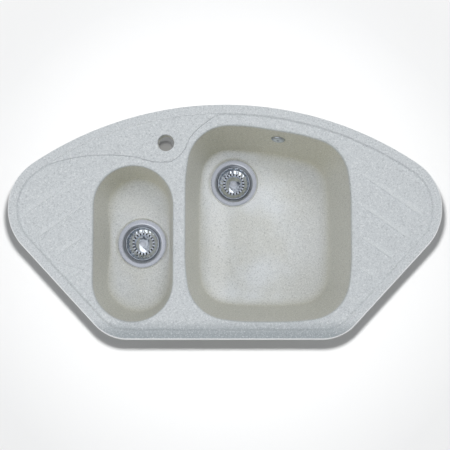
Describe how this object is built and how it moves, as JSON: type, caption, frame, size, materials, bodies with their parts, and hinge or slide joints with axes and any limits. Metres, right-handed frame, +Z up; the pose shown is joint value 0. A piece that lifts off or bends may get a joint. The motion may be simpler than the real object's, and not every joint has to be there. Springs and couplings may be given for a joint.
{
  "type": "corner kitchen sink",
  "caption": "Inset corner kitchen sink in speckled composite: a narrow and a wide bowl, drainers at both ends, a tap ledge, basket wastes, an overflow and worktop clips.",
  "frame": {"origin": "middle of the front seat band under the rim, in the plane of the worktop", "axes": "+X to the right along the front edge, +Y to the back corner, +Z up"},
  "size_m": [0.95, 0.515, 0.2821],
  "materials": {
    "composite": "fine speckled granite composite, satin",
    "satin_steel": "satin pressed stainless steel",
    "polished_steel": "bright polished stainless steel",
    "plated_steel": "zinc-plated steel",
    "rubber": "black moulded rubber",
    "white_plastic": "moulded polypropylene, matt",
    "grey_plastic": "glass-filled nylon, matt"
  },
  "bodies": {
    "sink": {"sink_moulding": "composite", "main_flange_seal": "rubber", "main_waste_flange": "satin_steel", "main_waste_screw": "plated_steel", "main_body_gasket": "rubber", "main_waste_body": "white_plastic", "small_flange_seal": "rubber", "small_waste_flange": "satin_steel", "small_waste_screw": "plated_steel", "small_body_gasket": "rubber", "small_waste_body": "white_plastic", "overflow_rosette": "polished_steel", "overflow_screw": "polished_steel", "overflow_seal": "rubber", "overflow_elbow": "white_plastic", "overflow_upper_nut": "white_plastic", "overflow_pipe": "white_plastic", "overflow_lower_nut": "white_plastic", "clip_screw_01": "plated_steel", "clip_screw_02": "plated_steel", "clip_screw_03": "plated_steel", "clip_screw_04": "plated_steel", "clip_screw_05": "plated_steel", "clip_screw_06": "plated_steel", "clip_screw_07": "plated_steel", "clip_screw_08": "plated_steel"},
    "main_strainer": {"main_strainer_basket": "polished_steel", "main_basket_knob": "polished_steel", "main_basket_stopper": "rubber"},
    "small_strainer": {"small_strainer_basket": "polished_steel", "small_basket_knob": "polished_steel", "small_basket_stopper": "rubber"},
    "claw_01": {"clip_claw_01": "grey_plastic"},
    "claw_02": {"clip_claw_02": "grey_plastic"},
    "claw_03": {"clip_claw_03": "grey_plastic"},
    "claw_04": {"clip_claw_04": "grey_plastic"},
    "claw_05": {"clip_claw_05": "grey_plastic"},
    "claw_06": {"clip_claw_06": "grey_plastic"},
    "claw_07": {"clip_claw_07": "grey_plastic"},
    "claw_08": {"clip_claw_08": "grey_plastic"}
  },
  "joints": [
    {"name": "main_strainer_lift", "type": "slide", "parent": "sink", "child": "main_strainer", "axis": [0, 0, 1], "range_m": [0, 0.24]},
    {"name": "small_strainer_lift", "type": "slide", "parent": "sink", "child": "small_strainer", "axis": [0, 0, 1], "range_m": [0, 0.18]},
    {"name": "claw_01_turn", "type": "hinge", "parent": "sink", "child": "claw_01", "pos_m": [-0.1005, 0.018, -0.043], "axis": [0, 0, 1], "range_deg": [0, 90]},
    {"name": "claw_02_turn", "type": "hinge", "parent": "sink", "child": "claw_02", "pos_m": [0.23822, 0.02398, -0.043], "axis": [0, 0, 1], "range_deg": [0, 90]},
    {"name": "claw_03_turn", "type": "hinge", "parent": "sink", "child": "claw_03", "pos_m": [0.36145, 0.14744, -0.043], "axis": [0, 0, 1], "range_deg": [0, 90]},
    {"name": "claw_04_turn", "type": "hinge", "parent": "sink", "child": "claw_04", "pos_m": [0.37782, 0.37025, -0.043], "axis": [0, 0, 1], "range_deg": [0, 90]},
    {"name": "claw_05_turn", "type": "hinge", "parent": "sink", "child": "claw_05", "pos_m": [0.24567, 0.43392, -0.043], "axis": [0, 0, 1], "range_deg": [0, 90]},
    {"name": "claw_06_turn", "type": "hinge", "parent": "sink", "child": "claw_06", "pos_m": [-0.08623, 0.47183, -0.043], "axis": [0, 0, 1], "range_deg": [0, 90]},
    {"name": "claw_07_turn", "type": "hinge", "parent": "sink", "child": "claw_07", "pos_m": [-0.35549, 0.38342, -0.043], "axis": [0, 0, 1], "range_deg": [0, 90]},
    {"name": "claw_08_turn", "type": "hinge", "parent": "sink", "child": "claw_08", "pos_m": [-0.36145, 0.14744, -0.043], "axis": [0, 0, 1], "range_deg": [0, 90]}
  ]
}
